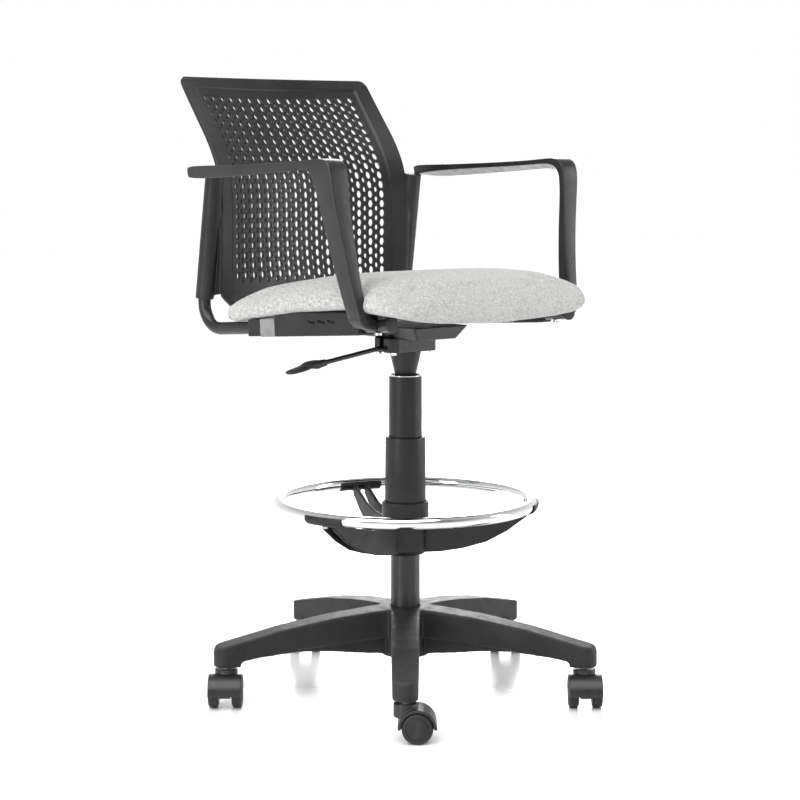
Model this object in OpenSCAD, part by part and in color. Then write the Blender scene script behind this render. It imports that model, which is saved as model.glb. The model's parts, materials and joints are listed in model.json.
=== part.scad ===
// Drafting chair: tall swivel chair with gas lift, foot ring, loop arms and a perforated back.
// Origin on the floor under the column axis. +Z up, the sitter faces -Y, the sitter's right is -X.

/* [Base] */
// Radius of the circle that the caster stems stand on
stem_circle_r = 316; // [300:1:330]
// Height of the hub's top face above the floor
hub_top_z = 148; // [140:1:156]
// Outer diameter of the hub
hub_d = 84; // [78:1:92]
// Direction that the first leg points in
first_leg_angle = -130; // [-144:1:-116]
// Width of a leg where it leaves the hub
leg_root_w = 50; // [44:1:56]
// Width of a leg at its tip
leg_tip_w = 42; // [38:1:46]

/* [Casters] */
// Diameter of each caster wheel
wheel_d = 50; // [46:1:52]
// Width of one wheel
wheel_w = 17.5; // [15:0.5:19]
// Distance from the swivel axis back to the axle
trail = 19; // [16:1:22]
// Diameter of the wheel axle
axle_d = 6; // [5:0.5:8]
// Diameter of the swivel stem
stem_d = 11; // [10:0.5:12]

/* [Column] */
// Outer diameter of the column tube
column_d = 50; // [48:1:52]
// Height of the column tube's top
column_top_z = 376; // [370:1:378]
// Diameter of the gas cylinder
cylinder_d = 28; // [26:1:30]
// Diameter of the piston rod
rod_d = 10; // [8:1:12]
// Outer diameter of the middle telescopic cover
middle_cover_d = 56; // [55:0.5:57]
// Outer diameter of the lower telescopic cover
lower_cover_d = 69; // [67:0.5:70]

/* [Foot ring] */
// Radius of the foot ring's centre line
ring_r = 215.5; // [200:0.5:225]
// Diameter of the foot ring's tube
ring_tube_d = 19; // [16:1:22]
// Height of the foot ring's centre line
ring_z = 329; // [326:1:334]
// Direction of the first spoke
first_spoke_angle = -47; // [-60:1:-40]

/* [Seat] */
// Width of the cushion
seat_w = 464; // [450:1:470]
// How far the cushion reaches in front of the column
seat_front = 240; // [230:1:246]
// How far the cushion reaches behind the column
seat_rear = 220; // [205:1:222]
// Diameter of the bent frame tube
frame_tube_d = 22; // [20:1:24]

/* [Back] */
// Half the width of the backrest at its edges
back_half_w = 206; // [200:1:207]
// Thickness of the backrest shell
back_t = 6; // [4:0.5:8]
// Diameter of the sleeve round each upright
sleeve_d = 32; // [30:1:34]

/* [Arms] */
// Height of the armrest's top at the front corner
arm_top_z = 908; // [900:1:912]
// Outside of the armrests, measured from the middle
arm_outer_x = 268; // [264:1:272]
// Width of the top bar
arm_w = 35; // [30:1:38]

/* [Hidden] */
$fn = 64;
fit = 0.03;
gap = 0.4;
hub_under_z = 64;
socket_z = 66;
leg_tip_z = 100;
leg_n = 5;
wheel_r = wheel_d / 2;
bush_flange_t = 3;
bush_len = 76;
cyl_bottom_z = 270;
cyl_top_z = 596;
mech_z0 = 588;
mech_z1 = 612;
plate_z1 = 634;
cone_z0 = 549;
middle_z0 = 373;
middle_z1 = 546;
lower_z0 = 314;
lower_z1 = 441;
hub_z0 = 239;
collar_z0 = 306;
collar_z1 = 330;
// Trailing direction of each caster, in leg order
trails = [-40, -130, 50, 50, -130];
sleeve_z0 = 672;
sleeve_z1 = 880;
sleeve_x = 222;
sleeve_tilt = 8.5;
bend_r = 43;
seat_rise = 4.2;
toe_in = 3.6;
tube_len = 424;
lever_droop = 98;
lever_z = 603;
pivot_x = 18;
pivot_z = 600.5;
pivot_d = 3.5;
steel = [0.62, 0.63, 0.64];
black = [0.07, 0.07, 0.075];
charcoal = [0.13, 0.13, 0.135];

function leg_angle(i) = first_leg_angle + 72 * i;

module tube(d_out, d_in, h) {
    difference() {
        cylinder(d = d_out, h = h);
        translate([0, 0, -1]) cylinder(d = d_in, h = h + 2);
    }
}

// ---- base ----
module leg_side() {
    // side outline of a leg, x outwards from the hub axis
    rotate([90, 0, 0]) linear_extrude(height = 90, center = true) polygon([
        [26, hub_under_z + 4], [90, 74], [145, 81], [205, 84], [266, 79],
        [stem_circle_r - 26, 75], [stem_circle_r - 21, 72],
        [stem_circle_r - 21, socket_z], [stem_circle_r + 21, socket_z],
        [stem_circle_r + 21, leg_tip_z - 8], [stem_circle_r + 15, leg_tip_z],
        [stem_circle_r - 26, leg_tip_z + 9], [220, 125], [130, 139], [60, 146], [26, hub_top_z]]);
}
module leg_plan() {
    tip_r = leg_tip_w / 2;
    translate([0, 0, 40]) linear_extrude(height = 120) union() {
        polygon([[0, -leg_root_w / 2 - 6], [52, -leg_root_w / 2], [stem_circle_r, -tip_r],
            [stem_circle_r, tip_r], [52, leg_root_w / 2], [0, leg_root_w / 2 + 6]]);
        translate([stem_circle_r, 0]) circle(r = tip_r);
    }
}
module leg() {
    difference() {
        intersection() {
            leg_side();
            leg_plan();
        }
        // the side walls stop short of the keel
        for (s = [-1, 1]) translate([45, s * 17, 99]) rotate([0, 4, 0])
            translate([-5, s > 0 ? 0 : -30, -50]) cube([160, 30, 50]);
    }
}
module star_base() {
    color(charcoal) difference() {
        union() {
            translate([0, 0, hub_under_z]) cylinder(d = hub_d, h = hub_top_z - hub_under_z);
            for (i = [0:leg_n - 1]) rotate([0, 0, leg_angle(i)]) leg();
        }
        translate([0, 0, hub_under_z - 10]) cylinder(d = column_d + 2 * fit, h = 120);
        for (i = [0:leg_n - 1]) rotate([0, 0, leg_angle(i)])
            translate([stem_circle_r, 0, socket_z - 5]) cylinder(d = stem_d + 2 * fit, h = 29);
    }
}
module caster_stems() {
    color(steel) for (i = [0:leg_n - 1]) rotate([0, 0, leg_angle(i)])
        translate([stem_circle_r, 0, 44]) {
            cylinder(d = stem_d, h = 44);
            translate([0, 0, 19]) cylinder(d = 17, h = socket_z - 44 - 19 - fit);
        }
}

// ---- column ----
module column_tube() {
    color(black) difference() {
        translate([0, 0, 60]) cylinder(d = column_d, h = column_top_z - 60);
        translate([0, 0, 64]) cylinder(d = column_d - 5, h = 400);
        translate([0, 0, 50]) cylinder(d = rod_d + 2 * fit + 0.1, h = 30);
    }
}
module guide_bush() {
    color("ivory") difference() {
        union() {
            translate([0, 0, column_top_z - bush_len])
                cylinder(d = column_d - 5 - 2 * fit, h = bush_len);
            translate([0, 0, column_top_z + fit]) cylinder(d = column_d - 1, h = bush_flange_t);
            translate([0, 0, column_top_z - 1]) cylinder(d = column_d - 7, h = 2);
        }
        translate([0, 0, 200]) cylinder(d = cylinder_d + 0.12, h = 300);
    }
}
module thrust_bearing() {
    color(steel) translate([0, 0, 64 + fit]) tube(30, rod_d + 0.12, 6);
}
module cover_lower() {
    color(black) difference() {
        translate([0, 0, lower_z0]) cylinder(d1 = lower_cover_d + 1.4, d2 = lower_cover_d - 1,
            h = lower_z1 - lower_z0);
        translate([0, 0, lower_z0 - 1]) cylinder(d = lower_cover_d - 6, h = lower_z1 - lower_z0 - 5);
        translate([0, 0, lower_z0]) cylinder(d = middle_cover_d + 2.6, h = 200);
    }
}
module piston_rod() {
    color(steel) {
        translate([0, 0, 56]) cylinder(d = rod_d, h = 352);
        translate([0, 0, 395]) cylinder(d = 22.4, h = 15);
    }
}
module rod_clip() {
    color(steel) translate([0, 0, 57]) tube(20, rod_d + 0.02, 2.4);
}
module bump_stop() {
    color("dimgray") translate([0, 0, 70.5]) tube(26, rod_d + 0.02, 18);
}
module gas_cylinder() {
    color(black) difference() {
        translate([0, 0, cyl_bottom_z]) cylinder(d = cylinder_d, h = cyl_top_z - cyl_bottom_z);
        translate([0, 0, cyl_bottom_z + 16]) cylinder(d = 22.6, h = 270);
        translate([0, 0, cyl_bottom_z - 1]) cylinder(d = rod_d + 0.14, h = 30);
        translate([0, 0, 572]) cylinder(d = 8.12, h = 60);
    }
}
module release_pin() {
    color(steel) translate([0, 0, 574]) cylinder(d = 8, h = lever_z - 4.95 - 574);
}

// ---- telescopic covers ----
module cover_upper() {
    color(black) difference() {
        union() {
            translate([0, 0, cone_z0]) cylinder(d1 = 36, d2 = 53, h = mech_z0 - cone_z0 - fit);
            translate([0, 0, 514]) cylinder(d = 36, h = 36);
        }
        translate([0, 0, 500]) cylinder(d = cylinder_d + 1, h = 120);
        translate([0, 0, cone_z0 + 8]) cylinder(d1 = 29, d2 = 47, h = mech_z0 - cone_z0 - 7);
    }
}
module cover_middle() {
    color(black) difference() {
        translate([0, 0, middle_z0]) cylinder(d1 = middle_cover_d + 1, d2 = middle_cover_d - 1,
            h = middle_z1 - middle_z0);
        translate([0, 0, middle_z0 - 1]) cylinder(d = middle_cover_d - 4.4, h = 400);
    }
}
module cover_snap_ring() {
    color("silver") translate([0, 0, middle_z1 - 9])
        tube(middle_cover_d - 4.5, middle_cover_d - 6.2, 7);
}

// ---- lift mechanism ----
module chamfered_block(w, l, c) {
    polygon([[-w / 2 + c, -l / 2], [w / 2 - c, -l / 2], [w / 2, -l / 2 + c], [w / 2, l / 2 - c],
        [w / 2 - c, l / 2], [-w / 2 + c, l / 2], [-w / 2, l / 2 - c], [-w / 2, -l / 2 + c]]);
}
module mechanism_box() {
    color(black) difference() {
        translate([0, 0, mech_z0]) linear_extrude(height = mech_z1 - mech_z0)
            chamfered_block(105, 60, 12);
        translate([0, 0, mech_z0 - 1]) cylinder(d = cylinder_d + 2 * fit, h = 11.2);
        // slot that the lever's inner end works in
        translate([-60, -5.5, mech_z0 + 1]) cube([66, 11, 30]);
        translate([-60, -5.5, mech_z0 - 1]) cube([33, 11, 30]);
        // cross hole for the lever's pivot
        translate([-pivot_x, 0, pivot_z]) rotate([90, 0, 0])
            cylinder(d = pivot_d + 2 * fit, h = 80, center = true);
        translate([0, 0, mech_z0 + 10]) cylinder(d = 16, h = 40);
    }
}
module seat_plate() {
    h = plate_z1 - mech_z1;
    color(black) difference() {
        translate([0, 0, mech_z1]) intersection() {
            rotate([90, 0, 0]) linear_extrude(height = 400, center = true)
                polygon([[-44, 0], [40, 0], [62, h], [-58, h]]);
            rotate([90, 0, 90]) linear_extrude(height = 400, center = true)
                polygon([[-84, 0], [102, 0], [118, h], [-90, h]]);
        }
        // recess over the release pin
        translate([0, 0, mech_z1 - 1]) cylinder(d = 26, h = 12);
        translate([-40, -7, mech_z1 - 1]) cube([40, 14, 7]);
    }
}
module plate_bolts() {
    color(steel) for (x = [-42, 42], y = [-20, 20]) translate([x, y, mech_z0 - 4]) {
        cylinder(d = 10, h = 4 - fit, $fn = 6);
    }
}

// ---- frame tubes: path in the y,z plane, drawn for the sitter's right side ----
module side_frame(side) {
    mirror([side > 0 ? 1 : 0, 0, 0])
        translate([-sleeve_x, 273.5, 0]) rotate([0, 0, toe_in]) children();
}
// y,z frame of the lower, nearly level run
module level_run() {
    translate([0, -bend_r, sleeve_z0]) rotate([-seat_rise, 0, 0]) children();
}
module upright_run() {
    translate([0, 0, sleeve_z0]) rotate([sleeve_tilt, 0, 0]) children();
}
bend_turn = 90 + sleeve_tilt + seat_rise;
module frame_tube(side) {
    r = frame_tube_d / 2;
    side_frame(side) union() {
        upright_run() translate([0, 0, -3]) cylinder(r = r, h = 198);
        // quarter bend from the upright to the level run, a little thicker than the runs
        translate([0, -bend_r * cos(sleeve_tilt), sleeve_z0 - bend_r * sin(sleeve_tilt)])
            rotate([sleeve_tilt, 0, 0]) rotate([-90, 0, 90])
            rotate_extrude(angle = bend_turn) translate([bend_r, 0]) circle(r = r + 0.2);
        level_start() translate([0, 0, -3]) cylinder(r = r, h = tube_len + 3);
    }
}
module level_start() {
    a = sleeve_tilt;
    translate([0, -bend_r * cos(a) - bend_r * sin(seat_rise),
        sleeve_z0 - bend_r * sin(a) - bend_r * cos(seat_rise)])
        rotate([90 - seat_rise, 0, 0]) children();
}
module frame_tube_hollow(side) {
    color(black) difference() {
        frame_tube(side);
        side_frame(side) level_start() translate([0, 0, 300]) cylinder(r = 8.5, h = 140);
        side_frame(side) upright_run() translate([0, 0, 100]) cylinder(r = 8.5, h = 100);
    }
}
module frame_tube_right() { frame_tube_hollow(-1); }
module frame_tube_left() { frame_tube_hollow(1); }
module tube_plugs() {
    color(charcoal) for (s = [-1, 1]) side_frame(s) level_start() {
        translate([0, 0, tube_len + fit]) cylinder(d = 24, h = 5);
        translate([0, 0, tube_len - 18]) cylinder(r = 8.4, h = 19);
    }
}
module tube_saddles() {
    // block that clamps each tube under the cushion's rear corner
    color(black) for (s = [-1, 1]) side_frame(s) level_start()
        translate([0, 0, 88]) difference() {
            translate([-14, -14, 0]) cube([34, 28, 33 - fit]);
            translate([0, 0, -1]) cylinder(r = frame_tube_d / 2 + fit, h = 40);
        }
}
module tube_collars() {
    color([0.5, 0.5, 0.5]) for (s = [-1, 1]) side_frame(s) level_start()
        translate([0, 0, 121]) difference() {
            translate([-15, -15, 0]) cube([34, 30, 37]);
            translate([0, 0, -1]) cylinder(r = frame_tube_d / 2 + fit, h = 40);
        }
}

// ---- seat ----
module rounded_plan(w, y0, y1, r0, r1) {
    for (x = [-1, 1]) {
        translate([x * (w / 2 - r0), y0 + r0]) circle(r = r0);
        translate([x * (w / 2 - r1), y1 - r1]) circle(r = r1);
    }
    translate([-w / 2 + r0, y0]) square([w - 2 * r0, r0]);
    translate([-w / 2 + r1, y1 - r1]) square([w - 2 * r1, r1]);
    translate([-w / 2, y0 + r0]) square([w, y1 - y0 - r0 - r1]);
}
// side outline of the tilted seat stack between two heights measured from the board's face
module seat_slab(low, high, w, y0, y1, r) {
    intersection() {
        rotate([90, 0, 90]) linear_extrude(height = 600, center = true) polygon([
            [-300, 674 + low], [-120, 674 + low], [0, 668 + low], [240, 650 + low],
            [240, 650 + high], [0, 668 + high], [-120, 674 + high], [-300, 674 + high]]);
        translate([0, 0, 560]) linear_extrude(height = 250) rounded_plan(w, y0, y1, r, r);
    }
}
module seat_board() {
    color("burlywood") seat_slab(-8, 0, 404, -205, 190, 50);
}
module seat_shell() {
    color(charcoal) difference() {
        union() {
            // tray under and around the board
            seat_slab(-12, -1, 418, -208, 196, 44);
            // side skirts over the frame tubes
            intersection() {
                for (s = [-1, 1]) side_frame(s) level_start() translate([0, 0, 158.2]) {
                    translate([-15, -15, 0]) cube([31, 50, 219]);
                    translate([10, 4, 0]) cube([32, 12, 219]);
                }
                seat_slab(-60, -4, 600, -300, 300, 20);
            }
        }
        seat_slab(-8 - fit, 60, 404 + 2 * fit, -205 - fit, 190 + fit, 50);
        // grooves for the frame tubes
        for (s = [-1, 1]) side_frame(s) level_start() {
            translate([0, 0, 90]) cylinder(r = frame_tube_d / 2 + fit, h = 400);
            translate([0, 0, tube_len - 1]) cylinder(r = 12.6, h = 12);
        }
        // room for the feet of the arms
        for (s = [-1, 1]) translate([s * 221 - 38, -178, 630]) cube([76, 42, 60]);
        translate([-66, -95, plate_z1 - 30]) cube([132, 216, 30 + fit]);
        // ventilation slots in the outer walls
        for (s = [-1, 1], k = [0:2]) side_frame(s) level_start()
            translate([-20, 8, 242 + k * 24]) rotate([10, 0, 0]) cube([9, 3.5, 19]);
    }
}
module shell_screws() {
    color(steel) for (s = [-1, 1]) translate([s * 120, 60, 644]) {
        cylinder(d = 12, h = 2.4);
    }
}
// side outline of the cushion, crowned with a rolled front lip
module cushion_side() {
    rotate([90, 0, 90]) linear_extrude(height = 600, center = true) polygon([
        [-seat_front, 668], [-seat_front + 6, 660], [-200, 664], [-190, 675], [-120, 675], [0, 669],
        [110, 654], [seat_rear - 30, 640], [seat_rear - 10, 639], [seat_rear, 648],
        [seat_rear - 4, 664], [seat_rear - 22, 680],
        [150, 692], [80, 706], [0, 716], [-70, 720], [-130, 716], [-180, 706],
        [-214, 695], [-232, 684]]);
}
module seat_cushion() {
    color([0.86, 0.86, 0.85]) difference() {
        intersection() {
            cushion_side();
            translate([0, 0, 600]) linear_extrude(height = 200)
                rounded_plan(seat_w, -seat_front, seat_rear, 78, 50);
        }
        // clearance for the arm legs
        for (s = [-1, 1]) translate([s * 232 - 10, -172, 600]) cube([20, 62, 200]);
        // room for the board, which the cover wraps
        seat_slab(-40, 0 + fit, 418.2, -208.1, 196.1, 44);
        for (s = [-1, 1]) side_frame(s) level_start() translate([0, 0, 380]) cylinder(r = 13, h = 70);
    }
}

// ---- backrest ----
// centre line of the back: y and z along its height, then how far the edges come forward and rise
back_line = [[262, 654, 20, 0], [272, 680, 29, 0], [282, 730, 41, 0], [286, 790, 48, 0],
    [287, 840, 49, 0], [291, 873, 47, 2], [301, 902, 46, 5], [318, 934, 42, 8],
    [342, 972, 36, 8], [366, 1010, 30, 7], [392, 1054, 27, 0]];
back_n = len(back_line) - 1;
back_m = 16;
function back_y(j, u) = back_line[j][0] - back_line[j][2] * u * u;
function back_z(j, u) = back_line[j][1] + back_line[j][3] * u * u;
function back_x(j, u) = (j == 0 ? 0.84 : j == back_n ? 0.985 : 1) * back_half_w * u;
function back_slope(j) = let (a = back_line[max(j - 1, 0)], b = back_line[min(j + 1, back_n)])
    atan2(b[0] - a[0], b[1] - a[1]);
function back_point(j, i, t) = let (u = 2 * i / back_m - 1, s = back_slope(j))
    [back_x(j, u), back_y(j, u) + t * cos(s), back_z(j, u) - t * sin(s)];
module backrest() {
    row = back_m + 1;
    face = (back_n + 1) * row;
    points = [for (t = [0, back_t], j = [0:back_n], i = [0:back_m]) back_point(j, i, t)];
    front = [for (j = [0:back_n - 1], i = [0:back_m - 1], k = [0, 1])
        let (a = j * row + i) k == 0 ? [a, a + 1, a + row + 1] : [a, a + row + 1, a + row]];
    rear = [for (f = front) [f[2] + face, f[1] + face, f[0] + face]];
    rim_low = [for (i = [0:back_m - 1], k = [0, 1])
        k == 0 ? [i + 1, i, i + face] : [i + 1, i + face, i + 1 + face]];
    rim_top = [for (i = [0:back_m - 1], k = [0, 1]) let (a = back_n * row + i)
        k == 0 ? [a, a + 1, a + face] : [a + 1, a + 1 + face, a + face]];
    rim_right = [for (j = [0:back_n - 1], k = [0, 1]) let (a = j * row)
        k == 0 ? [a, a + row, a + face] : [a + row, a + row + face, a + face]];
    rim_left = [for (j = [0:back_n - 1], k = [0, 1]) let (a = j * row + back_m)
        k == 0 ? [a + row, a, a + face] : [a + row, a + face, a + row + face]];
    color(black) polyhedron(points = points,
        faces = concat(front, rear, rim_low, rim_top, rim_right, rim_left));
}
module sleeve(side) {
    color(charcoal) difference() {
        union() {
            side_frame(side) upright_run() cylinder(d = sleeve_d, h = 213);
            // web that carries the back's edge round to the sleeve
            mirror([side > 0 ? 1 : 0, 0, 0]) translate([-back_half_w - 4.8, 0, 0])
                rotate([90, 0, 90]) linear_extrude(height = 4.77) polygon(concat(
                    [for (j = [1:4]) [back_y(j, 1) + 1, back_z(j, 1)]],
                    [[244, 866], [272, 700], [270, 676]]));
        }
        side_frame(side) upright_run() translate([0, 0, -5])
            cylinder(d = frame_tube_d + 2 * fit, h = 205);
    }
}
module sleeve_right() { sleeve(-1); }
module sleeve_left() { sleeve(1); }

// ---- armrests ----
module arm_outline() {
    // side outline in y,z: top bar, front corner and forward-sloping leg
    polygon([[254, 893], [250, 880], [200, 880], [120, 886], [0, 892], [-74, 896],
        [-90, 890], [-101, 868], [-116, 790], [-127, 730], [-137, 690], [-145, 641],
        [-174, 641], [-167, 690], [-155, 745], [-144, 806], [-137, 862], [-134, 895],
        [-128, arm_top_z - 2], [-118, arm_top_z], [0, arm_top_z - 6], [130, 897], [230, 895]]);
}
module armrest(side) {
    mirror([side > 0 ? 1 : 0, 0, 0]) color(charcoal) difference() {
        intersection() {
            rotate([90, 0, 90]) linear_extrude(height = 600, center = true) arm_outline();
            // front view: the leg narrows and leans in towards the seat
            rotate([90, 0, 0]) linear_extrude(height = 700, center = true) polygon([
                [-arm_outer_x, 920], [-arm_outer_x, 880], [-arm_outer_x + 19, 750],
                [-arm_outer_x + 27, 690], [-arm_outer_x + 30, 652], [-200, 645.5], [-200, 659.5],
                [-205, 662], [-223, 674], [-226, 740], [-arm_outer_x + arm_w, 860],
                [-arm_outer_x + arm_w, 920]]);
        }
        // the back of the leg is cut away towards the inside
        translate([0, 0, 700]) linear_extrude(height = 185) polygon([[-215, -60], [-215, -125],
            [-233, -125], [-262, -90], [-262, -60]]);
        // seat for the sleeve's top
        side_frame(-1) upright_run() cylinder(d = sleeve_d + 2 * fit, h = 213 + fit);
        side_frame(-1) level_start() translate([0, 0, 250])
            cylinder(r = frame_tube_d / 2 + fit, h = 300);
        side_frame(-1) level_start() translate([0, 0, tube_len]) cylinder(r = 13, h = 30);
    }
}
module armrest_right() { armrest(-1); }
module armrest_left() { armrest(1); }
module arm_bolts() {
    color(steel) for (s = [-1, 1]) mirror([s > 0 ? 1 : 0, 0, 0]) translate([-195, -166, 636.2]) {
        cylinder(d = 12, h = 4);
    }
}

// ---- height lever ----
module lever_rod() {
    color(black) difference() {
        translate([0, 0, lever_z]) rotate([0, -lever_droop, 0]) translate([0, 0, -4])
            cylinder(d = 8, h = 186);
        translate([-pivot_x, 0, pivot_z]) rotate([90, 0, 0])
            cylinder(d = pivot_d + 0.12, h = 20, center = true);
    }
}
module lever_pivot() {
    color(steel) translate([-pivot_x, 0, pivot_z]) rotate([90, 0, 0])
        cylinder(d = pivot_d, h = 40, center = true);
}
module lever_handle() {
    color(charcoal) translate([0, 0, lever_z]) rotate([0, 90 - lever_droop, 0]) translate([-172, 0, 0])
        rotate([0, 0, 180]) translate([0, 0, -9]) difference() {
            linear_extrude(height = 18) polygon([[0, -8], [16, -9], [30, -15], [72, -13], [82, -5],
                [82, 5], [72, 13], [30, 15], [16, 9], [0, 8]]);
            translate([20, -20, 15]) rotate([0, 4, 0]) cube([80, 40, 20]);
            translate([20, -20, -17]) rotate([0, -4, 0]) cube([80, 40, 20]);
            translate([-1, 0, 9]) rotate([0, 90, 0]) cylinder(d = 8 + 2 * fit, h = 20);
        }
}

// ---- foot ring ----
module spoke() {
    // two thin ribs with a convex lower edge and a concave upper edge
    for (s = [-1, 1]) translate([0, s * 11 + 2.5, 0]) rotate([90, 0, 0]) linear_extrude(height = 5)
        polygon([[34, 244], [60, 245], [100, 252], [140, 264], [176, 284], [ring_r - 6, 310],
            [ring_r - 8, 326], [ring_r - 18, 326], [150, 305], [110, 296], [70, 294], [34, 300]]);
    translate([34, -8.5, 248]) cube([36, 17, 46]);
}
module footring_hub() {
    color(black) difference() {
        union() {
            translate([0, 0, hub_z0]) cylinder(d1 = 62, d2 = 80, h = 8);
            translate([0, 0, hub_z0 + 8]) cylinder(d = 80, h = collar_z1 - hub_z0 - 8);
            for (i = [0:2]) rotate([0, 0, first_spoke_angle + 120 * i]) {
                spoke();
                saddle();
            }
        }
        translate([0, 0, hub_z0 - 1]) cylinder(d = column_d + 0.16, h = 200);
        translate([0, 0, hub_z0 + 23]) cylinder(d = middle_cover_d + 4.4, h = 200);
        translate([0, 0, lower_z0 - 2]) cylinder(d = lower_cover_d + 2.4, h = 200);
        translate([0, 0, ring_z]) ring_solid(fit);
    }
}
module saddle() {
    intersection() {
        translate([0, 0, ring_z]) ring_solid(3.2);
        translate([ring_r - 40, -38, ring_z - 20]) cube([80, 76, 20 + 4]);
    }
}
module ring_solid(grow) {
    rotate_extrude($fn = 96) translate([ring_r, 0]) circle(r = ring_tube_d / 2 + grow);
}
module foot_ring() {
    color("silver") translate([0, 0, ring_z]) ring_solid(0);
}
module ring_screws() {
    color(steel) for (i = [0:2]) rotate([0, 0, first_spoke_angle + 120 * i])
        translate([ring_r, 0, ring_z - ring_tube_d / 2 - 6.2]) cylinder(d = 8, h = 2.9);
}

// ---- casters ----
module at_caster(k) {
    a = leg_angle(k);
    translate([stem_circle_r * cos(a), stem_circle_r * sin(a), 0]) rotate([0, 0, trails[k]])
        children();
}
module hood(k) {
    hood_r = 29;
    wheel_gap = 21;
    color(charcoal) at_caster(k) difference() {
        union() {
            // neck round the stem
            translate([0, 0, 40]) cylinder(d = 38, h = 22);
            // hood shell over both wheels
            intersection() {
                translate([trail, 0, wheel_r]) rotate([90, 0, 0])
                    cylinder(r = hood_r + 2, h = 56, center = true);
                translate([-30, -28, 24]) cube([90, 56, 38]);
            }
            // web between the wheels
            intersection() {
                translate([trail, 0, wheel_r]) rotate([90, 0, 0])
                    cylinder(r = hood_r, h = wheel_gap - 1, center = true);
                translate([-30, -28, 21]) cube([90, 56, 40]);
            }
        }
        for (s = [-1, 1]) translate([trail, s * (wheel_gap / 2 + 10), wheel_r]) rotate([90, 0, 0])
            cylinder(r = wheel_r + 1.2, h = 20.6, center = true);
        translate([trail, 0, wheel_r]) rotate([90, 0, 0])
            cylinder(d = axle_d + 2 * fit, h = 80, center = true);
        translate([0, 0, 43.6]) cylinder(d = stem_d + 0.12, h = 30);
        translate([0, 0, 62 - gap]) cylinder(d = 60, h = 10);
    }
}
module axle(k) {
    color(steel) at_caster(k) translate([trail, 0, wheel_r]) rotate([90, 0, 0])
        cylinder(d = axle_d, h = 50, center = true);
}
module wheel(k, s) {
    color(charcoal) at_caster(k) translate([trail, s * (10.5 + gap + wheel_w / 2), wheel_r])
        rotate([90, 0, 0]) difference() {
            cylinder(r = wheel_r, h = wheel_w, center = true);
            cylinder(d = axle_d + 0.12, h = wheel_w + 2, center = true);
        }
}
module hood_1() { hood(0); }
module hood_2() { hood(1); }
module hood_3() { hood(2); }
module hood_4() { hood(3); }
module hood_5() { hood(4); }
module axle_1() { axle(0); }
module axle_2() { axle(1); }
module axle_3() { axle(2); }
module axle_4() { axle(3); }
module axle_5() { axle(4); }
module wheel_a_1() { wheel(0, 1); }
module wheel_a_2() { wheel(1, 1); }
module wheel_a_3() { wheel(2, 1); }
module wheel_a_4() { wheel(3, 1); }
module wheel_a_5() { wheel(4, 1); }
module wheel_b_1() { wheel(0, -1); }
module wheel_b_2() { wheel(1, -1); }
module wheel_b_3() { wheel(2, -1); }
module wheel_b_4() { wheel(3, -1); }
module wheel_b_5() { wheel(4, -1); }

star_base();
column_tube();
guide_bush();
caster_stems();
thrust_bearing();
cover_lower();
piston_rod();
rod_clip();
bump_stop();
gas_cylinder();
mechanism_box();
seat_plate();
plate_bolts();
frame_tube_right();
frame_tube_left();
tube_plugs();
tube_saddles();
tube_collars();
seat_board();
seat_shell();
seat_cushion();
shell_screws();
backrest();
sleeve_right();
sleeve_left();
armrest_right();
armrest_left();
arm_bolts();
cover_upper();
cover_middle();
cover_snap_ring();
lever_rod();
lever_handle();
lever_pivot();
release_pin();
footring_hub();
foot_ring();
ring_screws();
hood_1();
axle_1();
wheel_a_1();
wheel_b_1();
hood_2();
axle_2();
wheel_a_2();
wheel_b_2();
hood_3();
axle_3();
wheel_a_3();
wheel_b_3();
hood_4();
axle_4();
wheel_a_4();
wheel_b_4();
hood_5();
axle_5();
wheel_a_5();
wheel_b_5();
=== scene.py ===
import json
import math

import bmesh
import bpy
from mathutils import Matrix, Vector


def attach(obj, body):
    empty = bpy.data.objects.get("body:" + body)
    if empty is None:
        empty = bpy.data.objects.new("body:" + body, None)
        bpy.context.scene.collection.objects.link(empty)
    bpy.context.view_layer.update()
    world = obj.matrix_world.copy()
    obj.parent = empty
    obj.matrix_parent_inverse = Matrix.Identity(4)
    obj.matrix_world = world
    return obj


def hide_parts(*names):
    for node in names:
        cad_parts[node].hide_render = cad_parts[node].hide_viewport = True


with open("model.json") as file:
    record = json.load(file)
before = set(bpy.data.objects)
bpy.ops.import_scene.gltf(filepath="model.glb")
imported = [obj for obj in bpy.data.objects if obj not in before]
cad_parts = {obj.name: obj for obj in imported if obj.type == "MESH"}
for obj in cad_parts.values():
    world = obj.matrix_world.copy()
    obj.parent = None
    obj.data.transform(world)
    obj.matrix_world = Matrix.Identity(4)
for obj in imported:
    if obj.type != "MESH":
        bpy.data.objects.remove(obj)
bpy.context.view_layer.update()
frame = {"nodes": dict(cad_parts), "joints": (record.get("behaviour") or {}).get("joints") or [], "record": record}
MM = 0.001
COLL = bpy.context.scene.collection


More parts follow.
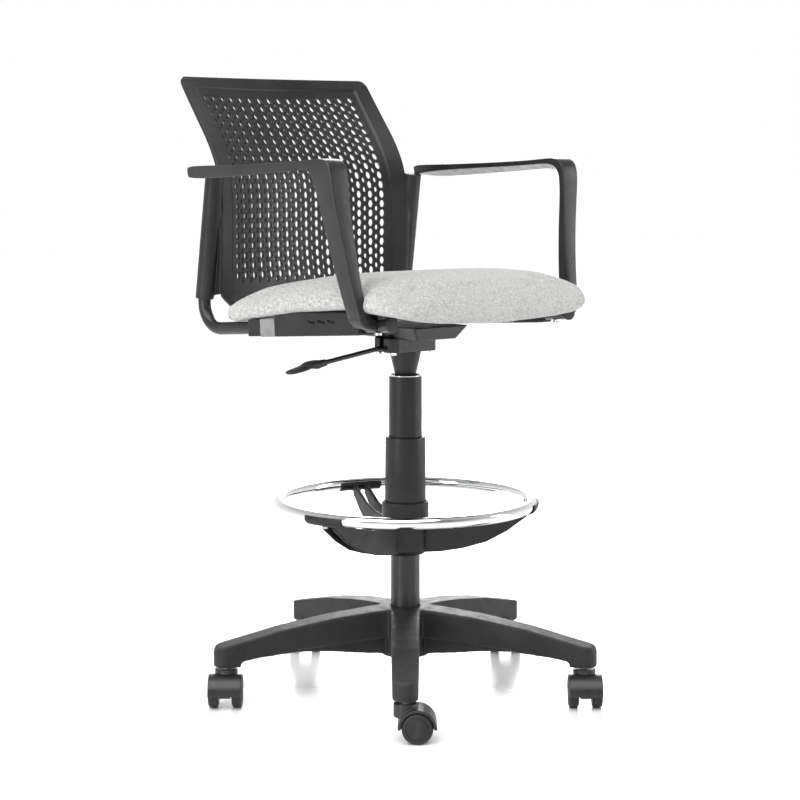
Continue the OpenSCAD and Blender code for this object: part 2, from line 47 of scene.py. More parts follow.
# ---------------------------------------------------------------- materials
class Nodes:
    """Small helper that builds a node material."""

    def __init__(self, name):
        self.m = bpy.data.materials.new(name)
        self.m.use_nodes = True
        self.t = self.m.node_tree
        self.s = self.t.nodes["Principled BSDF"]
        self.pos = self.t.nodes.new("ShaderNodeTexCoord").outputs["Object"]

    def add(self, kind, **props):
        n = self.t.nodes.new(kind)
        for k, v in props.items():
            setattr(n, k, v)
        return n

    def link(self, a, b):
        self.t.links.new(a, b)

    def noise(self, scale, detail=3.0, rough=0.55, vec=None):
        n = self.add("ShaderNodeTexNoise")
        n.inputs["Scale"].default_value = scale
        n.inputs["Detail"].default_value = detail
        n.inputs["Roughness"].default_value = rough
        self.link(vec or self.pos, n.inputs["Vector"])
        return n.outputs["Fac"]

    def scaled(self, x, y, z):
        n = self.add("ShaderNodeMapping")
        n.inputs["Scale"].default_value = (x, y, z)
        self.link(self.pos, n.inputs["Vector"])
        return n.outputs["Vector"]

    def span(self, value, a, b, lo=0.0, hi=1.0):
        n = self.add("ShaderNodeMapRange")
        n.inputs["From Min"].default_value = a
        n.inputs["From Max"].default_value = b
        n.inputs["To Min"].default_value = lo
        n.inputs["To Max"].default_value = hi
        self.link(value, n.inputs["Value"])
        return n.outputs["Result"]

    def mix(self, fac, a, b):
        n = self.add("ShaderNodeMix", data_type="RGBA")
        self.link(fac, n.inputs[0])
        for socket, v in ((n.inputs[6], a), (n.inputs[7], b)):
            if hasattr(v, "links"):
                self.link(v, socket)
            else:
                socket.default_value = (*v, 1.0)
        return n.outputs[2]

    def math(self, op, a, b=0.5):
        n = self.add("ShaderNodeMath", operation=op)
        for socket, v in zip(n.inputs, (a, b)):
            if hasattr(v, "links"):
                self.link(v, socket)
            else:
                socket.default_value = v
        return n.outputs[0]

    def bump(self, height, dist, strength=1.0, normal=None):
        n = self.add("ShaderNodeBump")
        n.inputs["Distance"].default_value = dist
        n.inputs["Strength"].default_value = strength
        self.link(height, n.inputs["Height"])
        if normal:
            self.link(normal, n.inputs["Normal"])
        return n.outputs["Normal"]


def plastic(name, dark, light, rough, grain=900.0, depth=0.00012, spread=0.07, spec=0.32, edge_highlight=0.35):
    """Moulded plastic: fine spark-eroded grain, faint flow marks, and a painted highlight that makes the sharper
    edges paler.
    """
    n = Nodes(name)
    flow = n.noise(14.0, 4.0)
    fleck = n.noise(420.0, 2.0)
    both = n.math("ADD", n.math("MULTIPLY", flow, 0.7), n.math("MULTIPLY", fleck, 0.3))
    base = n.mix(n.span(both, 0.36, 0.64), tuple(c * 0.8 for c in dark), tuple(c * 1.15 for c in light))
    # painted highlight: edges picked out by their pointiness are mixed towards a paler colour
    geo = n.add("ShaderNodeNewGeometry")
    edge = n.span(geo.outputs["Pointiness"], 0.52, 0.60, 0.0, edge_highlight)
    pale = tuple(min(1.0, c * 1.9 + 0.02) for c in light)
    n.link(n.mix(edge, base, pale), n.s.inputs["Base Color"])
    n.link(n.span(n.noise(60.0, 5.0), 0.3, 0.7, rough - spread, rough + spread), n.s.inputs["Roughness"])
    n.link(n.bump(n.noise(grain, 2.0, 0.6), depth), n.s.inputs["Normal"])
    n.s.inputs["Specular IOR Level"].default_value = spec
    return n.m


def metal(name, colour, rough, spread=0.03, along=(1, 1, 1), scale=300.0, depth=0.0):
    """Bright metal with faint smears and, where wanted, a drawn or brushed direction."""
    n = Nodes(name)
    smear = n.noise(11.0, 5.0)
    brush = n.noise(scale, 3.0, vec=n.scaled(*along))
    both = n.math("ADD", n.math("MULTIPLY", smear, 0.6), n.math("MULTIPLY", brush, 0.4))
    dull = tuple(c * 0.93 for c in colour)
    n.link(n.mix(n.span(both, 0.35, 0.65), dull, colour), n.s.inputs["Base Color"])
    n.link(n.span(both, 0.3, 0.7, max(0.02, rough - spread), rough + spread), n.s.inputs["Roughness"])
    if depth:
        n.link(n.bump(brush, depth), n.s.inputs["Normal"])
    n.s.inputs["Metallic"].default_value = 1.0
    return n.m


def melange():
    """Light grey wool-look cloth: crossing yarns, mixed pale and darker fibres, short fuzz."""
    n = Nodes("fabric_melange")
    sep = n.add("ShaderNodeSeparateXYZ")
    wob = n.add("ShaderNodeTexNoise")
    wob.inputs["Scale"].default_value = 90.0
    n.link(n.pos, wob.inputs["Vector"])
    shift = n.add("ShaderNodeVectorMath", operation="MULTIPLY_ADD")
    shift.inputs[1].default_value = (0.0016, 0.0016, 0.0016)
    n.link(wob.outputs["Color"], shift.inputs[0])
    n.link(n.pos, shift.inputs[2])
    n.link(shift.outputs[0], sep.inputs[0])
    x, y, z = sep.outputs
    zz = n.math("MULTIPLY", z, 0.8)
    pitch = 2.0 * math.pi / 0.0019
    warp = n.math("SINE", n.math("MULTIPLY", n.math("ADD", x, zz), pitch), 0.0)
    weft = n.math("SINE", n.math("MULTIPLY", n.math("ADD", y, zz), pitch), 0.0)
    weave = n.math("MULTIPLY", warp, weft)
    fibre = n.noise(380.0, 5.0, 0.75)
    streak = n.noise(1.0, 3.0, 0.6, vec=n.scaled(900.0, 120.0, 240.0))
    cloud = n.noise(70.0, 3.0)
    fleck = n.math("ADD", n.math("MULTIPLY", fibre, 0.55), n.math("MULTIPLY", streak, 0.45))
    body = n.mix(n.span(fleck, 0.40, 0.58), (0.24, 0.24, 0.235), (0.66, 0.66, 0.65))
    soft = n.mix(n.span(cloud, 0.3, 0.7, 0.0, 0.35), body, (0.55, 0.55, 0.54))
    n.link(n.mix(n.span(weave, -1.0, 1.0, 0.0, 0.22), soft, (0.38, 0.38, 0.37)), n.s.inputs["Base Color"])
    n.link(n.span(fleck, 0.3, 0.7, 0.86, 0.98), n.s.inputs["Roughness"])
    h = n.bump(weave, 0.00025, 0.9)
    n.link(n.bump(fibre, 0.0006, 1.0, h), n.s.inputs["Normal"])
    n.s.inputs["Sheen Weight"].default_value = 0.12
    n.s.inputs["Sheen Roughness"].default_value = 0.5
    n.s.inputs["Specular IOR Level"].default_value = 0.15
    return n.m


def plywood():
    """Ply coloured near black, its grain running front to back."""
    n = Nodes("plywood_near_black")
    grain = n.noise(1.0, 5.0, 0.6, vec=n.scaled(120.0, 9.0, 900.0))
    # the board's colour is set near black; what colour the real board has is not known
    near_black_tone = n.mix(n.span(grain, 0.35, 0.65), (0.012, 0.010, 0.009), (0.022, 0.019, 0.017))
    n.link(near_black_tone, n.s.inputs["Base Color"])
    n.link(n.span(grain, 0.3, 0.7, 0.5, 0.7), n.s.inputs["Roughness"])
    n.link(n.bump(grain, 0.0002), n.s.inputs["Normal"])
    return n.m


MAT = {
    "nylon_base": plastic("nylon_textured", (0.009, 0.009, 0.0092), (0.016, 0.016, 0.0162),
                          0.52, 900.0, 0.00035, spec=0.35, edge_highlight=0.9),
    "painted_tube": plastic("powder_coat", (0.005, 0.005, 0.0052), (0.009, 0.009, 0.0092),
                            0.33, 700.0, 0.00008, spec=0.5, edge_highlight=0.15),
    "bush_plastic": plastic("acetal_natural", (0.62, 0.60, 0.52), (0.72, 0.70, 0.62), 0.4, edge_highlight=0.1),
    "zinc_steel": metal("zinc_plate", (0.58, 0.59, 0.60), 0.30, 0.06),
    "polished_steel": metal("steel_polished", (0.70, 0.70, 0.71), 0.14, 0.05),
    "cover_plastic": plastic("cover_satin", (0.0095, 0.0095, 0.010), (0.014, 0.014, 0.0145),
                             0.42, 1000.0, 0.00007, edge_highlight=0.15),
    "buffer_rubber": plastic("rubber_black", (0.010, 0.010, 0.010), (0.016, 0.016, 0.016), 0.75),
    "black_plastic": plastic("pp_black", (0.012, 0.012, 0.0125), (0.018, 0.018, 0.0185),
                             0.46, 1100.0, 0.0001),
    "grey_plastic": plastic("collar_grey", (0.21, 0.21, 0.215), (0.27, 0.27, 0.275),
                            0.5, 900.0, 0.00008, edge_highlight=0.1),
    "plywood": plywood(),
    "seat_fabric": melange(),
    "back_plastic": plastic("pp_back", (0.006, 0.006, 0.0062), (0.011, 0.011, 0.0112),
                            0.36, 1000.0, 0.00018, spec=0.45, edge_highlight=0.5),
    "arm_plastic": plastic("pa_arm", (0.008, 0.008, 0.0082), (0.014, 0.014, 0.0142),
                           0.36, 1000.0, 0.0002, spec=0.45, edge_highlight=0.6),
    "hub_plastic": plastic("pa_hub", (0.009, 0.009, 0.0095), (0.014, 0.014, 0.0145), 0.44, 1000.0, 0.0001),
    "chrome_ring": metal("chrome_bright", (0.80, 0.81, 0.82), 0.05, 0.025),
    "caster_plastic": plastic("pa_hood", (0.008, 0.008, 0.0082), (0.013, 0.013, 0.0132),
                              0.34, 1200.0, 0.00015, spec=0.5, edge_highlight=0.6),
    "wheel_plastic": plastic("pa_tread", (0.012, 0.012, 0.0125), (0.020, 0.020, 0.0205), 0.5, 700.0, 0.0001),
}
SLOT = {s["node"]: s["material_slot"] for s in frame["record"]["subparts"]}
BODY = {n: b for b, ns in frame["record"]["behaviour"]["bodies"].items() for n in ns}
for node, obj in frame["nodes"].items():
    obj.data.materials.clear()
    obj.data.materials.append(MAT[SLOT[node]])


# ---------------------------------------------------------------- mesh helpers
def make(name, bm, smooth=True):
    bmesh.ops.recalc_face_normals(bm, faces=bm.faces)
    me = bpy.data.meshes.new(name)
    bm.to_mesh(me)
    bm.free()
    o = bpy.data.objects.new(name, me)
    COLL.objects.link(o)
    for p in me.polygons:
        p.use_smooth = smooth
    return o


def apply_all(o):
    """Modifiers baked into the mesh."""
    bpy.context.view_layer.update()
    dg = bpy.context.evaluated_depsgraph_get()
    me = bpy.data.meshes.new_from_object(o.evaluated_get(dg), depsgraph=dg)
    old = o.data
    o.modifiers.clear()
    o.data = me
    bpy.data.meshes.remove(old)
    return o


def finish_piece(o, slot, body, nodes=(), smooth_angle=None):
    o.data.materials.clear()
    o.data.materials.append(MAT[slot])
    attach(o, body)
    if nodes:
        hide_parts(*nodes)
    if smooth_angle is not None:
        o.data.set_sharp_from_angle(angle=math.radians(smooth_angle))
    return o


def mod(o, kind, **props):
    m = o.modifiers.new(kind.lower(), kind)
    for k, v in props.items():
        setattr(m, k, v)
    return m


def subdivided(o, levels):
    """The mesh subdivided for good, and shaded smooth."""
    mod(o, "SUBSURF", levels=levels, render_levels=levels)
    apply_all(o)
    for p in o.data.polygons:
        p.use_smooth = True


def join_rings(bm, rings):
    """Quads between neighbouring rings of vertices, and a face over each end."""
    n = len(rings[0])
    for a, b in zip(rings, rings[1:]):
        for i in range(n):
            j = (i + 1) % n
            bm.faces.new((a[i], a[j], b[j], b[i]))
    bm.faces.new(rings[0])
    bm.faces.new(rings[-1])


def lathe(name, profile, seg, round_mm=0.0):
    """Closed profile of (r, z) in mm turned about the vertical axis."""
    bm = bmesh.new()
    rings = []
    for k in range(seg):
        a = 2 * math.pi * k / seg
        rings.append([bm.verts.new((r * math.cos(a) * MM, r * math.sin(a) * MM, z * MM)) for r, z in profile])
    n = len(profile)
    for k in range(seg):
        a, b = rings[k], rings[(k + 1) % seg]
        for i in range(n):
            j = (i + 1) % n
            bm.faces.new((a[i], b[i], b[j], a[j]))
    o = make(name, bm)
    if round_mm:
        mod(o, "BEVEL", width=round_mm * MM, segments=3, limit_method="ANGLE", angle_limit=math.radians(28))
        apply_all(o)
    return o


def rounded(node, voxel, passes):
    """The node's shape with its edges softened the way a moulding has them."""
    bm = bmesh.new()
    bm.from_mesh(frame["nodes"][node].data)
    bmesh.ops.remove_doubles(bm, verts=bm.verts, dist=1e-6)
    o = make("looks_" + node, bm)
    mod(o, "REMESH", mode="VOXEL", voxel_size=voxel * MM, use_smooth_shade=True)
    mod(o, "SMOOTH", factor=0.5, iterations=passes)
    apply_all(o)
    return finish_piece(o, SLOT[node], BODY[node], [node])


# ---------------------------------------------------------------- backrest
LINE = [(262, 654, 20, 0), (272, 680, 29, 0), (282, 730, 41, 0), (286, 790, 48, 0), (287, 840, 49, 0),
        (291, 873, 47, 2), (301, 902, 46, 5), (318, 934, 42, 8), (342, 972, 36, 8), (366, 1010, 30, 7),
        (392, 1054, 27, 0)]
RUN = [0.0]
for p, q in zip(LINE, LINE[1:]):
    RUN.append(RUN[-1] + math.hypot(q[0] - p[0], q[1] - p[1]))


def along(v):
    """Centre line values at length v, by a cubic through the stations."""
    v = min(max(v, 0.0), RUN[-1])
    j = max(i for i in range(len(RUN) - 1) if RUN[i] <= v)
    h = RUN[j + 1] - RUN[j]
    t = (v - RUN[j]) / h

    def slope(i, c):
        a, b = max(i - 1, 0), min(i + 1, len(LINE) - 1)
        return (LINE[b][c] - LINE[a][c]) / (RUN[b] - RUN[a])

    return [(2 * t ** 3 - 3 * t ** 2 + 1) * LINE[j][c] + (t ** 3 - 2 * t ** 2 + t) * h * slope(j, c)
            + (-2 * t ** 3 + 3 * t ** 2) * LINE[j + 1][c] + (t ** 3 - t ** 2) * h * slope(j + 1, c)
            for c in range(4)]


HALF = 206.0           # from the back's middle to its edge, seen from the front
BOW = 44.0             # forward curve of the edge, one value here for every height
EDGE_RATE = 224.0      # surface length for one u at the edge
PANEL, BACK = 1.3, 7.0  # depth of the panel's two faces behind the rim's front
STEPS = 200
ARC = [0.0]            # surface length from the middle, at every step of u
for k in range(STEPS):
    u = (k + 0.5) / STEPS
    ARC.append(ARC[-1] + math.hypot(HALF, 2 * BOW * u) / STEPS)


def u_of(s):
    """The place across the back, -1 to 1, that lies s mm along its surface from the middle."""
    a = abs(s)
    if a >= ARC[-1]:
        return math.copysign(1.0 + (a - ARC[-1]) / EDGE_RATE, s)
    k = max(i for i in range(STEPS) if ARC[i] <= a)
    return math.copysign((k + (a - ARC[k]) / (ARC[k + 1] - ARC[k])) / STEPS, s)


def shell_point(s, v, t):
    """Point on the back, s across and v up its surface, t behind the front face, all mm."""
    u = u_of(s)
    y, z, sag, rise = along(v)
    y1, z1, sg1, rs1 = along(v + 2)
    y0, z0, sg0, rs0 = along(v - 2)
    rise_y = (y1 - sg1 * u * u) - (y0 - sg0 * u * u)
    rise_z = (z1 + rs1 * u * u) - (z0 + rs0 * u * u)
    up = Vector((0, rise_y, rise_z)).normalized()
    across = Vector((HALF, -2 * sag * u, 2 * rise * u)).normalized()
    n = up.cross(across).normalized()
    if n.y < 0:
        n = -n
    return (Vector((HALF * u, y - sag * u * u, z + rise * u * u)) + n * t) * MM


def build_back():
    """The perforated back: a grid that every hole is cut from cell by cell, inside a raised rim."""
    px, py = 10.9, 17.2  # between hole columns, and between the holes in one column
    top_row_z = 1013.5
    top_centre = [v for v in range(0, int(RUN[-1])) if along(v)[1] >= top_row_z][0]
    v_top = top_centre + py / 2
    rows = 21
    v_bot = v_top - rows * py
    xs = [(i - 31) * px / 2 for i in range(63)]
    ys = [v_bot + i * py / 2 for i in range(2 * rows + 1)]
    edge_s = ARC[-1]
    # share of the way from the holes to the edge, and how far the front is raised there (0 panel, 1 rim)
    side = [(0.12, 0), (0.27, 0), (0.31, 1), (0.35, 1), (0.55, 1),
            (0.8, 1), (0.95, 1), (0.985, .8), (1.0, .45)]
    gx = [(-1, f, r) for f, r in reversed(side)] + [(0, x, 0) for x in xs] + [(1, f, r) for f, r in side]
    above = [(0.2, 0), (0.34, 0), (0.39, 1), (0.45, 1), (0.7, 1), (0.9, 1), (0.97, .8), (1.0, .45)]
    below = [(0.25, 0), (0.3, 0), (0.4, 1), (0.5, 1), (0.8, 1), (0.94, 1), (1.0, .45)]
    up = [(v_top + (RUN[-1] - v_top) * f, r) for f, r in above]
    dn = [(v_bot * (1 - f), r) for f, r in below]
    gy = [(v, r) for v, r in reversed(dn)] + [(v, 0) for v in ys] + up
    bm = bmesh.new()
    crease = bm.edges.layers.float.new("crease_edge")

    def width(v):
        """Half width along the surface: tapered at the foot, with top corners of 15 mm radius."""
        w = edge_s
        drop = RUN[1] - v
        if drop > 0:
            w -= (drop / RUN[1]) ** 1.3 * 31.0
        d = 15.0 - (RUN[-1] - v)
        if d > 0:
            w -= 15.0 - math.sqrt(max(0.0, 225.0 - d * d))
        return w

    def place(ix, iy):
        sx, f, r = gx[ix]
        v, rv = gy[iy]
        inner = xs[-1]
        s = f if sx == 0 else sx * (inner + (width(v) - inner) * f)
        raised = max(r if sx else 0, rv)
        if (r and r < 1 and sx) or (rv and rv < 1):
            raised = min(r if sx and r else 1, rv if rv else 1)
        return s, v, raised

    front, back = {}, {}
    for ix in range(len(gx)):
        for iy in range(len(gy)):
            s, v, raised = place(ix, iy)
            front[ix, iy] = bm.verts.new(shell_point(s, v, PANEL * (1 - raised)))
            rim = 7.0 - 3.0 * (1 - raised if raised < 1 and raised > 0.1 else 0)
            back[ix, iy] = bm.verts.new(shell_point(s, v, BACK if raised == 0 else rim))
    nx0 = len(side)
    ny0 = len(dn)
    holes = {}
    for k in range(31):
        big = k % 2 == 0
        if big:
            cells = [(2 * r + 2, 2) for r in range(rows - 1)]
        else:
            cells = [(2 * r + 1, 2) for r in range(rows - 1)] + [(2 * rows - 1, 1)]
        for y0, h in cells:
            holes[k, y0] = (big, h)
    used = set()
    for (k, y0), (big, h) in holes.items():
        cx = (k - 15) * px
        ix, iy = nx0 + 2 * k, ny0 + y0
        cy = ys[y0] + py / 2 * (h / 2)
        if h == 2:
            loop = [(ix, iy), (ix + 1, iy), (ix + 2, iy), (ix + 2, iy + 1),
                    (ix + 2, iy + 2), (ix + 1, iy + 2), (ix, iy + 2), (ix, iy + 1)]
            a, b = (4.9, 7.3) if big else (3.2, 5.0)
            angles = [-135, -90, -45, 0, 45, 90, 135, 180]
        else:
            loop = [(ix, iy), (ix + 1, iy), (ix + 2, iy), (ix + 2, iy + 1), (ix + 1, iy + 1), (ix, iy + 1)]
            a, b = 2.6, 2.9
            angles = [-150, -90, -30, 30, 90, 150]
        for dx in range(2):
            for dy in range(h):
                used.add((ix + dx, iy + dy))
        rings = []
        for grid, t in ((front, PANEL), (back, BACK)):
            ring = []
            for g in angles:
                turn = math.radians(g)
                ring.append(bm.verts.new(shell_point(cx + a * math.cos(turn), cy + b * math.sin(turn), t)))
            out = [grid[p] for p in loop]
            m = len(loop)
            for i in range(m):
                bm.faces.new((out[i], out[(i + 1) % m], ring[(i + 1) % m], ring[i]))
            rings.append(ring)
        m = len(loop)
        for i in range(m):
            bm.faces.new((rings[0][i], rings[0][(i + 1) % m], rings[1][(i + 1) % m], rings[1][i]))
        for ring in rings:
            for i in range(m):
                e = bm.edges.get((ring[i], ring[(i + 1) % m]))
                if e:
                    e[crease] = 0.55
    for ix in range(len(gx) - 1):
        for iy in range(len(gy) - 1):
            if (ix, iy) in used:
                continue
            for g in (front, back):
                bm.faces.new((g[ix, iy], g[ix + 1, iy], g[ix + 1, iy + 1], g[ix, iy + 1]))
    nx, ny = len(gx) - 1, len(gy) - 1
    rim = [(i, 0) for i in range(nx)] + [(nx, i) for i in range(ny)]
    rim += [(i, ny) for i in range(nx, 0, -1)] + [(0, i) for i in range(ny, 0, -1)]
    for a, b in zip(rim, rim[1:] + rim[:1]):
        bm.faces.new((front[a], front[b], back[b], back[a]))
    o = make("backrest_shell", bm)
    subdivided(o, 1)
    return finish_piece(o, "back_plastic", "lift", ["backrest"])


# ---------------------------------------------------------------- cushion
def lerp(table, x):
    for (x0, y0), (x1, y1) in zip(table, table[1:]):
        if x <= x1:
            t = min(max((x - x0) / (x1 - x0), 0), 1)
            t = t * t * (3 - 2 * t) * 0.35 + t * 0.65
            return y0 + (y1 - y0) * t
    return table[-1][1]


def cushion_plan(k, seg):
    """Point k of seg on the cushion's outline: straight sides that bow a little, round corners."""
    hw, y0, y1, rf, rr = 234.0, -241.0, 221.0, 72.0, 38.0
    spans = []
    corners = [(hw - rf, y0 + rf, rf, -90), (hw - rr, y1 - rr, rr, 0),
               (-hw + rr, y1 - rr, rr, 90), (-hw + rf, y0 + rf, rf, 180)]
    for cx, cy, r, a0 in corners:
        turns = [math.radians(a0 + 90 * t / 16) for t in range(17)]
        spans.append([(cx + r * math.cos(a), cy + r * math.sin(a)) for a in turns])
    pts = sum(spans, [])
    run = [0.0]
    for p, q in zip(pts, pts[1:] + pts[:1]):
        run.append(run[-1] + math.hypot(q[0] - p[0], q[1] - p[1]))
    d = run[-1] * k / seg
    i = max(n for n in range(len(pts)) if run[n] <= d)
    t = (d - run[i]) / max(1e-9, run[i + 1] - run[i])
    p, q = pts[i], pts[(i + 1) % len(pts)]
    x, y = p[0] + (q[0] - p[0]) * t, p[1] + (q[1] - p[1]) * t
    pinch = 9.5 * math.exp(-((y + 140) / 30.0) ** 2) + 2.5 * math.exp(-((y - 10) / 90.0) ** 2)
    x -= math.copysign(min(pinch, abs(x)), x) * min(1.0, abs(x) / 150.0) ** 2
    y -= math.copysign(2.0 * (1 - min(1.0, abs(x) / 150.0) ** 2), y) * (1 if abs(y) > 150 else 0)
    return x, y


def cushion_low(x, y):
    mid = lerp([(-240, 646), (-205, 655), (-120, 668), (0, 664), (110, 648), (180, 637), (220, 637)], y)
    edge = lerp([(-240, 661), (-190, 670), (-120, 674), (0, 664),
                 (80, 652), (130, 645), (180, 637), (220, 637)], y)
    k = min(1.0, (abs(x) / 200.0) ** 2)
    return mid + (edge - mid) * k


def cushion_high(x, y):
    top = lerp([(-240, 700), (-205, 713), (-140, 721.5), (-70, 722.5),
                (0, 718), (80, 707), (150, 695), (220, 680)], y)
    return top - 8.0 * (abs(x) / 230.0) ** 2.5


def build_cushion():
    seg = 112
    # distance out from the middle, then height between the underside and the top
    section = [(0.0, 0), (0.35, 0), (0.62, 0), (0.82, 0.0), (0.93, 0.0), (0.975, 0.03), (0.993, 0.15),
               (1.0, 0.36), (0.994, 0.58), (0.965, 0.79), (0.91, 0.905), (0.82, 0.96), (0.66, 0.99),
               (0.45, 1.0), (0.22, 1.0), (0.0, 1.0)]
    outline = [cushion_plan(k, seg) for k in range(seg)]
    bm = bmesh.new()
    rings = []
    for f, h in section:
        if f == 0:
            z = cushion_low(0, 0) if h == 0 else cushion_high(0, 0)
            rings.append([bm.verts.new((0, -10 * MM, z * MM))])
            continue
        ring = []
        for k in range(seg):
            x, y = outline[k]
            x, y = x * f, -10 + (y + 10) * f
            lo, hi = cushion_low(x, y), cushion_high(x, y)
            ring.append(bm.verts.new((x * MM, y * MM, (lo + (hi - lo) * h) * MM)))
        rings.append(ring)
    for a, b in zip(rings, rings[1:]):
        for k in range(seg):
            j = (k + 1) % seg
            if len(a) == 1:
                bm.faces.new((a[0], b[k], b[j]))
            elif len(b) == 1:
                bm.faces.new((a[k], b[0], a[j]))
            else:
                bm.faces.new((a[k], b[k], b[j], a[j]))
    o = make("cushion_cover", bm)
    mod(o, "REMESH", mode="VOXEL", voxel_size=5.0 * MM, use_smooth_shade=True)
    mod(o, "SMOOTH", factor=0.5, iterations=3)
    apply_all(o)
    before = [v.co.copy() for v in o.data.vertices]
    vg = o.vertex_groups.new(name="held")
    for v in o.data.vertices:
        x, y, z = (c / MM for c in v.co)
        low = cushion_low(x, y)
        w = 1.0 if z < low + 3.5 else max(0.0, 1.0 - (z - low - 3.5) / 10.0) * 0.6
        if w > 0:
            vg.add([v.index], w, "REPLACE")
    c = o.modifiers.new("cloth", "CLOTH")
    c.settings.vertex_group_mass = "held"
    c.settings.quality = 6
    c.settings.mass = 0.3
    c.settings.tension_stiffness = c.settings.compression_stiffness = 15
    c.settings.shear_stiffness = 8
    c.settings.bending_stiffness = 3
    c.settings.use_pressure = True
    c.settings.uniform_pressure_force = 4.0
    c.settings.effector_weights.gravity = 0.0
    c.collision_settings.use_collision = False
    sc = bpy.context.scene
    for f in range(1, 21):
        sc.frame_set(f)
    dg = bpy.context.evaluated_depsgraph_get()
    sim = [v.co.copy() for v in o.evaluated_get(dg).data.vertices]
    o.modifiers.clear()
    sc.frame_set(1)
    for v, a, b in zip(o.data.vertices, before, sim):
        d = b - a
        limit = 0.006
        v.co = a + d * (1.0 if d.length < limit else limit / d.length)
    mod(o, "SMOOTH", factor=0.5, iterations=2)
    subdivided(o, 1)
    finish_piece(o, "seat_fabric", "lift", ["seat_cushion"])
    return o


# ---------------------------------------------------------------- armrests
def build_arm(side, node):
    # from the rear end round to the foot: under side y,z, upper side y,z,
    # then the share of the thickness cut away below the inner edge
    pairs = [
        ((252, 881), (255, 894), .1), ((247, 878), (250, 898.5), .2), ((200, 877.5), (200, 899.5), .5),
        ((120, 882), (120, 901), .55), ((0, 889.5), (0, 905), .5), ((-60, 894), (-72, 909), .45),
        ((-76, 893.5), (-100, 912), .5), ((-86, 889), (-121, 911.5), .6), ((-91, 880), (-134, 903), .72),
        ((-96, 866), (-139, 886), .78), ((-102, 840), (-141.5, 852), .74), ((-109, 800), (-146, 806), .62),
        ((-119, 750), (-154.5, 750), .46), ((-129.5, 708), (-163, 708), .3),
        ((-136.5, 684), (-168.5, 684), .2), ((-141.5, 668), (-173, 668), .1),
        ((-144.5, 659), (-174.5, 659), .05)]

    def outer(z):
        return lerp([(640, 237), (659, 237.5), (690, 241.5), (750, 249.5), (880, 268), (920, 268)], z)

    def inner(z):
        return lerp([(640, 219), (676, 222.5), (740, 226), (850, 233), (920, 233)], z)

    bm = bmesh.new()
    crease = bm.edges.layers.float.new("crease_edge")
    rings = []
    for (yi, zi), (yo, zo), cut in pairs:
        ring = []
        for f, w in ((0, 0), (0.5, 0), (1, 0), (1, 0.5), (1, 1), (0.5, 1), (0, 1), (0, 0.5)):
            f2 = f + (1 - f) * cut * w
            y, z = yi + (yo - yi) * f2, zi + (zo - zi) * f2
            x = outer(z) + (inner(z) - outer(z)) * w
            if f == 1 and w == 0.5:
                y, z = y + (yo - yi) * 0.03, z + (zo - zi) * 0.03
            if w == 0 and f == 0.5:
                x += 0.8
            ring.append(bm.verts.new((side * x * MM, y * MM, z * MM)))
        rings.append(ring)
    join_rings(bm, rings)
    bm.edges.ensure_lookup_table()
    for a, b in zip(rings, rings[1:]):
        for i in (0, 2, 4, 6):
            e = bm.edges.get((a[i], b[i]))
            e[crease] = 0.88
    for r in (rings[0], rings[-1]):
        for i in range(8):
            bm.edges.get((r[i], r[(i + 1) % 8]))[crease] = 0.7
    o = make("armrest_looks_" + node, bm)
    subdivided(o, 3)
    # foot that curves in under the seat, a strip as wide as the leg
    foot = bmesh.new()
    low = [(241.3, 690), (239.8, 670), (236.5, 657), (230, 650), (220, 646.4), (210, 644.6), (200.5, 643.6)]
    high = [(223.5, 700), (222.5, 686), (220.5, 675), (216, 667), (210, 662.8), (205, 660.8), (200.5, 659.6)]
    rings = []

    def back_y(z):
        return lerp([(640, -145), (659, -144.5), (684, -136.5), (708, -129.5)], z) - 0.4

    def front_y(z):
        return lerp([(640, -175), (659, -174.5), (684, -168.5), (708, -163)], z) + 0.4

    for (xl, zl), (xh, zh) in zip(low, high):
        corners = ((xl, zl, back_y(zl)), (xh, zh, back_y(zh)), (xh, zh, front_y(zh)), (xl, zl, front_y(zl)))
        rings.append([foot.verts.new((side * x * MM, y * MM, z * MM)) for x, z, y in corners])
    join_rings(foot, rings)
    f = make("arm_foot_" + node, foot)
    mod(f, "BEVEL", width=2.2 * MM, segments=3, limit_method="ANGLE", angle_limit=math.radians(40))
    apply_all(f)
    finish_piece(o, "arm_plastic", "lift", [node])
    finish_piece(f, "arm_plastic", "lift", smooth_angle=50)
    return o


# ---------------------------------------------------------------- tubes
def tube_path(side):
    """Centre line of a frame tube, as points in mm, the same as the solid's.

    195 down the upright, round a bend of radius r, then 424 forwards with a slight rise.
    """
    toe, tilt, rise, r, z0 = (math.radians(3.6), math.radians(8.5), math.radians(4.2), 43.0, 672.0)
    pts = [(-t * math.sin(tilt), z0 + t * math.cos(tilt)) for t in (195 - 195 * k / 8 for k in range(9))]
    cy, cz = -r * math.cos(tilt), z0 - r * math.sin(tilt)
    for k in range(1, 21):
        a = tilt - (math.pi / 2 + tilt + rise) * k / 20
        pts.append((cy + r * math.cos(a), cz + r * math.sin(a)))
    y1, z1 = pts[-1]
    pts += [(y1 - t * math.cos(rise), z1 + t * math.sin(rise)) for t in (424 * k / 12 for k in range(1, 13))]
    return [(side * (222 + y * math.sin(toe)), y * math.cos(toe) + 273.5, z) for y, z in pts]


def sweep(name, pts, radius):
    """Round bar of one radius along a line of points in mm."""
    seg = 32
    bm = bmesh.new()
    rings = []
    ref = Vector((1, 0, 0))
    path = [Vector(p) * MM for p in pts]
    turns = [2 * math.pi * k / seg for k in range(seg)]
    for i, p in enumerate(path):
        d = (path[min(i + 1, len(path) - 1)] - path[max(i - 1, 0)]).normalized()
        a = (ref - d * ref.dot(d)).normalized()
        b = d.cross(a)
        rings.append([bm.verts.new(p + (a * math.cos(t) + b * math.sin(t)) * radius * MM) for t in turns])
    join_rings(bm, rings)
    return make(name, bm)


